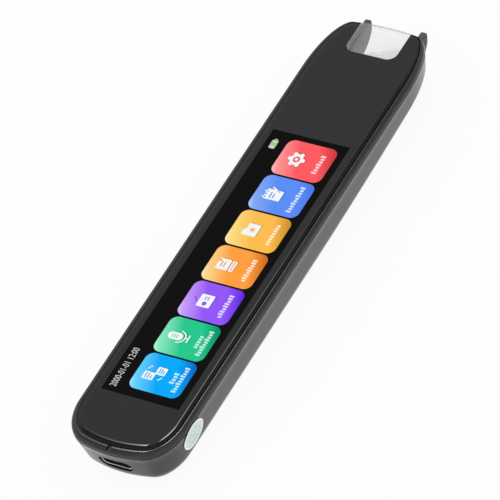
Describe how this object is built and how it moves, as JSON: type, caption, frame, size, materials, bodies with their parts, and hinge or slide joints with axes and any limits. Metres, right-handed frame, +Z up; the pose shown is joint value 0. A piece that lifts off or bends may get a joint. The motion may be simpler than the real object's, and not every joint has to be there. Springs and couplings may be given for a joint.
{
  "type": "scanning pen",
  "caption": "Slim flat handheld scanning pen with a long glass face, a clear window and two sprung fins at the scan tip, and a charging socket in the other end.",
  "frame": {"origin": "on the surface the pen lies on, under the middle of its whole length and width", "axes": "+X across the pen to the side with the seal, +Y from the charging end to the scan tip, +Z up out of the glass"},
  "size_m": [0.0308, 0.1448, 0.0125],
  "materials": {
    "shell_plastic": "satin moulded",
    "frame_plastic": "semi-gloss moulded",
    "black_glass": "polished, printed black behind",
    "clear_plate": "clear polished",
    "fork_plastic": "satin moulded",
    "display_black": "lit display",
    "gasket_foam": "foam",
    "board_green": "solder mask",
    "chip_black": "moulded",
    "can_metal": "tin plated",
    "steel": "plain",
    "ribbon_amber": "film",
    "cell_silver": "foil pouch",
    "lens_glass": "coated lens",
    "lamp_white": "moulded",
    "switch_black": "moulded",
    "lead_red": "wire sleeve",
    "lead_black": "wire sleeve",
    "paper_seal": "printed paper label",
    "cone_paper": "pressed paper"
  },
  "bodies": {
    "housing": {"rear_shell": "shell_plastic", "front_frame": "frame_plastic", "cover_glass": "black_glass", "glass_gasket": "gasket_foam", "scan_window": "clear_plate", "display_panel": "display_black", "display_ribbon": "ribbon_amber", "nib_spring_left": "steel", "nib_spring_right": "steel", "trigger_switch": "switch_black", "light_baffle": "switch_black", "lens_cover": "clear_plate", "scan_lamp_left": "lamp_white", "scan_lamp_right": "lamp_white", "light_board": "board_green", "camera_housing": "chip_black", "camera_lens": "lens_glass", "camera_ribbon": "ribbon_amber", "main_board": "board_green", "processor_chip": "chip_black", "shield_can": "can_metal", "memory_chip": "chip_black", "wireless_module": "can_metal", "power_switch": "switch_black", "battery": "cell_silver", "battery_pad": "gasket_foam", "battery_lead_black": "lead_black", "battery_lead_red": "lead_red", "charge_board": "board_green", "charge_chip": "chip_black", "microphone": "can_metal", "socket_shell": "steel", "socket_tongue": "switch_black", "link_ribbon": "ribbon_amber", "speaker": "chip_black", "speaker_cone": "cone_paper", "speaker_gasket": "gasket_foam", "charge_screw_left": "steel", "charge_screw_right": "steel", "main_screw_left": "steel", "main_screw_right": "steel", "seal_sticker": "paper_seal"},
    "nib": {"nib_fork": "fork_plastic", "trigger_plunger": "lamp_white"},
    "button": {"power_button": "frame_plastic", "power_plunger": "lamp_white"}
  },
  "joints": [
    {"name": "nib_press", "type": "slide", "parent": "housing", "child": "nib", "axis": [0, -1, 0], "range_m": [0, 0.0008], "stiffness_N_per_m": 600, "springref_m": -0.0005, "deforming": ["nib_spring_left", "nib_spring_right"]},
    {"name": "power_press", "type": "slide", "parent": "housing", "child": "button", "axis": [1, 0, 0], "range_m": [0, 0.0003], "stiffness_N_per_m": 1500}
  ]
}
